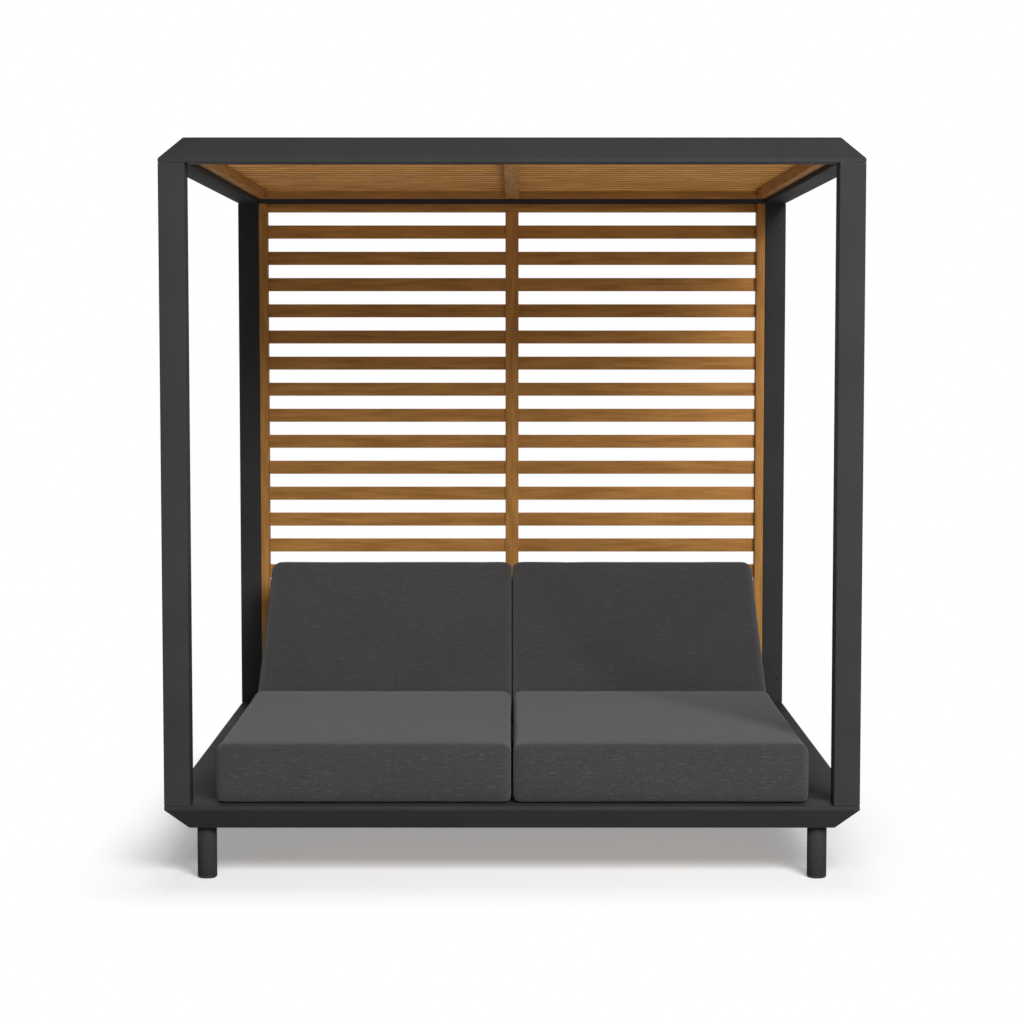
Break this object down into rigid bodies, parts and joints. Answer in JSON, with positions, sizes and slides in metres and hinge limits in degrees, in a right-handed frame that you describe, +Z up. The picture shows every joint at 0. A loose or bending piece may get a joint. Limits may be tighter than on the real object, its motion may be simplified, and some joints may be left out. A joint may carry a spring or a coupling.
{
  "type": "outdoor daybed with canopy",
  "caption": "Free-standing outdoor daybed: chamfered metal frame on round legs, slatted timber roof and rear screen, seat cushions and reclining backs.",
  "frame": {"origin": "on the floor, under the middle of the frame", "axes": "+Z up, front towards -Y, +X to the right seen from the front"},
  "size_m": [2, 2.08, 2.1416],
  "materials": {
    "frame_coat": "matte",
    "teak": "oiled",
    "cushion_fabric": "woven",
    "hardware_steel": "satin",
    "glide_plastic": "matte"
  },
  "bodies": {
    "root": {"base_rail_front": "frame_coat", "canopy_rail_front": "frame_coat", "base_rail_rear": "frame_coat", "canopy_rail_rear": "frame_coat", "base_rail_left": "frame_coat", "canopy_rail_left": "frame_coat", "base_rail_right": "frame_coat", "canopy_rail_right": "frame_coat", "leg_front_left": "frame_coat", "post_front_left": "frame_coat", "glide_front_left": "glide_plastic", "base_spigot_front_left": "hardware_steel", "canopy_spigot_front_left": "hardware_steel", "leg_front_right": "frame_coat", "post_front_right": "frame_coat", "glide_front_right": "glide_plastic", "base_spigot_front_right": "hardware_steel", "canopy_spigot_front_right": "hardware_steel", "leg_rear_left": "frame_coat", "post_rear_left": "frame_coat", "glide_rear_left": "glide_plastic", "base_spigot_rear_left": "hardware_steel", "canopy_spigot_rear_left": "hardware_steel", "leg_rear_right": "frame_coat", "post_rear_right": "frame_coat", "glide_rear_right": "glide_plastic", "base_spigot_rear_right": "hardware_steel", "canopy_spigot_rear_right": "hardware_steel", "centre_beam": "frame_coat", "roof_rail_left": "teak", "roof_rail_right": "teak", "roof_rail_front": "teak", "roof_rail_rear": "teak", "roof_rail_centre": "teak", "roof_slats_left": "teak", "roof_slats_right": "teak", "screen_stile_left": "teak", "screen_stile_right": "teak", "screen_stile_centre": "teak", "screen_rail_top": "teak", "screen_rail_bottom": "teak", "screen_slats_left": "teak", "screen_slats_right": "teak", "seat_platform_left": "teak", "hinge_beam_left": "frame_coat", "hinge_rod_left": "hardware_steel", "prop_rack_left": "hardware_steel", "seat_cushion_left": "cushion_fabric", "seat_platform_right": "teak", "hinge_beam_right": "frame_coat", "hinge_rod_right": "hardware_steel", "prop_rack_right": "hardware_steel", "seat_cushion_right": "cushion_fabric"},
    "back_left": {"back_frame_left": "frame_coat", "back_cushion_left": "cushion_fabric"},
    "back_right": {"back_frame_right": "frame_coat", "back_cushion_right": "cushion_fabric"},
    "prop_left": {"prop_left": "hardware_steel"},
    "prop_right": {"prop_right": "hardware_steel"}
  },
  "joints": [
    {"name": "back_left_recline", "type": "hinge", "parent": "root", "child": "back_left", "pos_m": [-0.4275, 0.21216, 0.215], "axis": [1, 0, 0], "range_deg": [-35, 15]},
    {"name": "prop_left_swing", "type": "hinge", "parent": "back_left", "child": "prop_left", "pos_m": [-0.4275, 0.46931, 0.37064], "axis": [1, 0, 0], "range_deg": [-30, 70]},
    {"name": "back_right_recline", "type": "hinge", "parent": "root", "child": "back_right", "pos_m": [0.4275, 0.21216, 0.215], "axis": [1, 0, 0], "range_deg": [-35, 15]},
    {"name": "prop_right_swing", "type": "hinge", "parent": "back_right", "child": "prop_right", "pos_m": [0.4275, 0.46931, 0.37064], "axis": [1, 0, 0], "range_deg": [-30, 70]}
  ],
  "couplings": [
    {"joint": "prop_left_swing", "follows": "back_left_recline", "ratio": -2},
    {"joint": "prop_right_swing", "follows": "back_right_recline", "ratio": -2}
  ]
}
